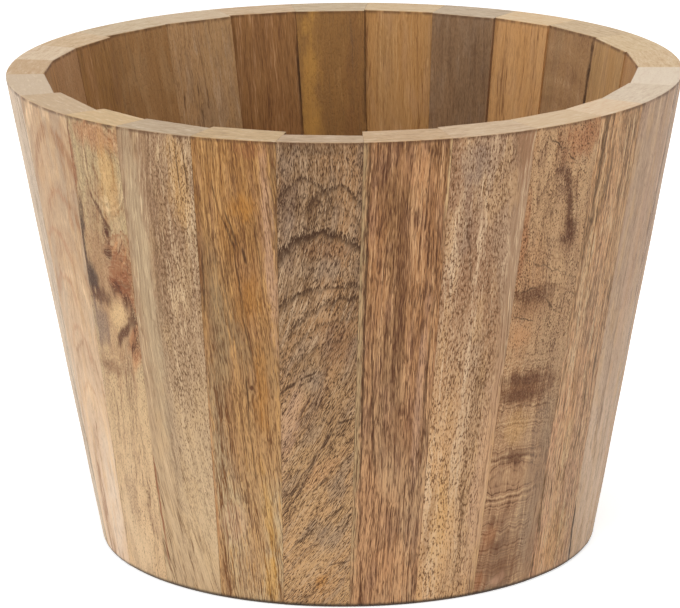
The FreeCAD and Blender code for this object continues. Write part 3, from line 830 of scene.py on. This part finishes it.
def staveMatrix(shape):
    # the stave's own frame: x across, y into the wood, z up along its face
    def middleAngle(height):
        radius = outerRadius(height)
        return (seamAngle(shape["left"], shape["middle"], radius, height)
                + seamAngle(shape["right"], shape["middle"], radius, height)) / 2
    rim = around(middleAngle(potHeight), stave["rimRadius"], potHeight)
    foot = around(middleAngle(0), stave["footRadius"], 0)
    up = (rim - foot).normalized()
    out = around(shape["middle"], 1, 0)
    inward = -(out - up * out.dot(up)).normalized()
    across = inward.cross(up)
    turn = Matrix((across, inward, up)).transposed()
    return Matrix.Translation((rim + foot) / 2 * mm) @ turn.to_4x4()


def everything(bm):
    return bm.verts[:] + bm.edges[:] + bm.faces[:]


def makeStave(name, seed):
    shape = readStave(name)
    low = stave["grooveLow"]
    high = stave["grooveHigh"]

    def inside(height):
        return innerRadius(shape, shape["middle"], height)

    # the stave's section, radius and height, once round from the foot
    corners = {
        "foot": (stave["footRadius"], 0),
        "rim": (stave["rimRadius"], potHeight),
        "rimInner": (inside(potHeight), potHeight),
        "grooveEdge": (inside(high), high),
        "grooveTop": (stave["grooveRadius"], high),
        "grooveFloor": (stave["grooveRadius"], low),
        "grooveLip": (inside(low), low),
        "footInner": (inside(0), 0),
    }
    bm = bmesh.new()
    points = {corner: bm.verts.new((0, *spot)) for corner, spot in corners.items()}
    bm.faces.new(list(points.values()))
    for corner in ("foot", "rim", "rimInner", "footInner"):
        bmesh.ops.bevel(bm, geom=[points[corner]], offset=stave[corner + "Round"],
                        segments=stave["roundSegments"], profile=0.5, affect="VERTICES", material=-1)
    width = 2 * math.pi * outerRadius(potHeight / 2) / len(staves)
    grown = bmesh.ops.extrude_face_region(bm, geom=bm.faces[:])
    moved = [v for v in grown["geom"] if isinstance(v, bmesh.types.BMVert)]
    bmesh.ops.translate(bm, verts=moved, vec=(width, 0, 0))
    bmesh.ops.recalc_face_normals(bm, faces=bm.faces[:])
    joints = [e for e in bm.edges if abs(e.verts[0].co.x - e.verts[1].co.x) < stave["sameSlice"]]
    bmesh.ops.bevel(bm, geom=joints, offset=stave["seamEase"], offset_type="OFFSET",
                    segments=stave["seamSegments"], profile=0.5, affect="EDGES", material=-1)
    for cut in range(1, stave["slices"]):
        bmesh.ops.bisect_plane(bm, geom=everything(bm), plane_co=(width * cut / stave["slices"], 0, 0),
                               plane_no=(1, 0, 0))
    for cut in range(1, round(potHeight / stave["rowStep"])):
        bmesh.ops.bisect_plane(bm, geom=everything(bm), plane_co=(0, 0, cut * stave["rowStep"]),
                               plane_no=(0, 0, 1))
    for v in bm.verts:
        v.co = bendStave(shape, v.co.x / width, v.co.y, v.co.z, seed)
    bmesh.ops.recalc_face_normals(bm, faces=bm.faces[:])
    return bm, staveMatrix(shape)


creaseAngle = 32  # degrees; sharper edges stay crisp


def addPiece(bm, name, material):
    mesh = bpy.data.meshes.new(name + "_wood")
    for face in bm.faces:
        face.smooth = True
    bm.to_mesh(mesh)
    bm.free()
    mesh.set_sharp_from_angle(angle=math.radians(creaseAngle))
    mesh.materials.append(material)
    piece = bpy.data.objects.new(name + "_wood", mesh)
    scene.collection.objects.link(piece)
    flat = piece.modifiers.new("flatFaces", "WEIGHTED_NORMAL")
    flat.keep_sharp = True
    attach(piece, "root")
    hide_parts(name)


for number, (name, recipe) in enumerate(staves.items(), 1):
    bm, matrix = makeStave(name, number * stave["seedStep"])
    marks = [recipe.get(kind, ()) for kind in ("stains", "arches", "knots")]
    material = makeWood(name + "Wood", matrix, woodOf(recipe), number, *marks)
    addPiece(bm, name, material)
print("staves made:", len(staves))


# base: edge-glued boards cut to a disc, held in the groove
base = {
    "boards": ["base_board_1", "base_board_2", "base_board_3", "base_board_4", "base_board_5"],
    "wood": "base_tan", "firstSeed": 41,
    "radius": 87.93, "low": 6.0, "high": 18.0, "turn": 24.0, "trimMargin": 1,
    "segments": 160, "jointEase": 0.25, "easeSegments": 2,
    "sharpTurn": 0.8,  # radians
}


def makeBoard(name):
    turn = math.radians(base["turn"])
    across = Vector((-math.sin(turn), math.cos(turn), 0))
    spots = [v.co.dot(across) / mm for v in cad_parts[name].data.vertices]
    bm = bmesh.new()
    middle = (base["low"] + base["high"]) / 2
    bmesh.ops.create_cone(bm, cap_ends=True, cap_tris=False, segments=base["segments"],
                          radius1=base["radius"], radius2=base["radius"],
                          depth=base["high"] - base["low"], matrix=Matrix.Translation((0, 0, middle)))
    for edge, way in ((min(spots), -1), (max(spots), 1)):
        # an outer board has one sawn edge only
        if abs(edge) > base["radius"] - base["trimMargin"]:
            continue
        bmesh.ops.bisect_plane(bm, geom=everything(bm), plane_co=across * edge, plane_no=across * way,
                               clear_outer=True)
        bmesh.ops.holes_fill(bm, edges=bm.edges[:], sides=0)
    bmesh.ops.recalc_face_normals(bm, faces=bm.faces[:])
    sharp = [e for e in bm.edges if e.is_manifold and e.calc_face_angle() > base["sharpTurn"]]
    bmesh.ops.bevel(bm, geom=sharp, offset=base["jointEase"], offset_type="OFFSET",
                    segments=base["easeSegments"], profile=0.5, affect="EDGES", material=-1)
    bmesh.ops.scale(bm, vec=(mm, mm, mm), verts=bm.verts[:])
    along = Vector((-math.cos(turn), -math.sin(turn), 0))
    centre = across * ((min(spots) + max(spots)) / 2) + Vector((0, 0, base["high"]))
    frameTurn = Matrix((across, Vector((0, 0, -1)), along)).transposed()
    return bm, Matrix.Translation(centre * mm) @ frameTurn.to_4x4()


for seed, name in enumerate(base["boards"], base["firstSeed"]):
    bm, matrix = makeBoard(name)
    material = makeWood(name + "Wood", matrix, woodOf({"wood": base["wood"]}), seed)
    addPiece(bm, name, material)
print("base boards made:", len(base["boards"]))
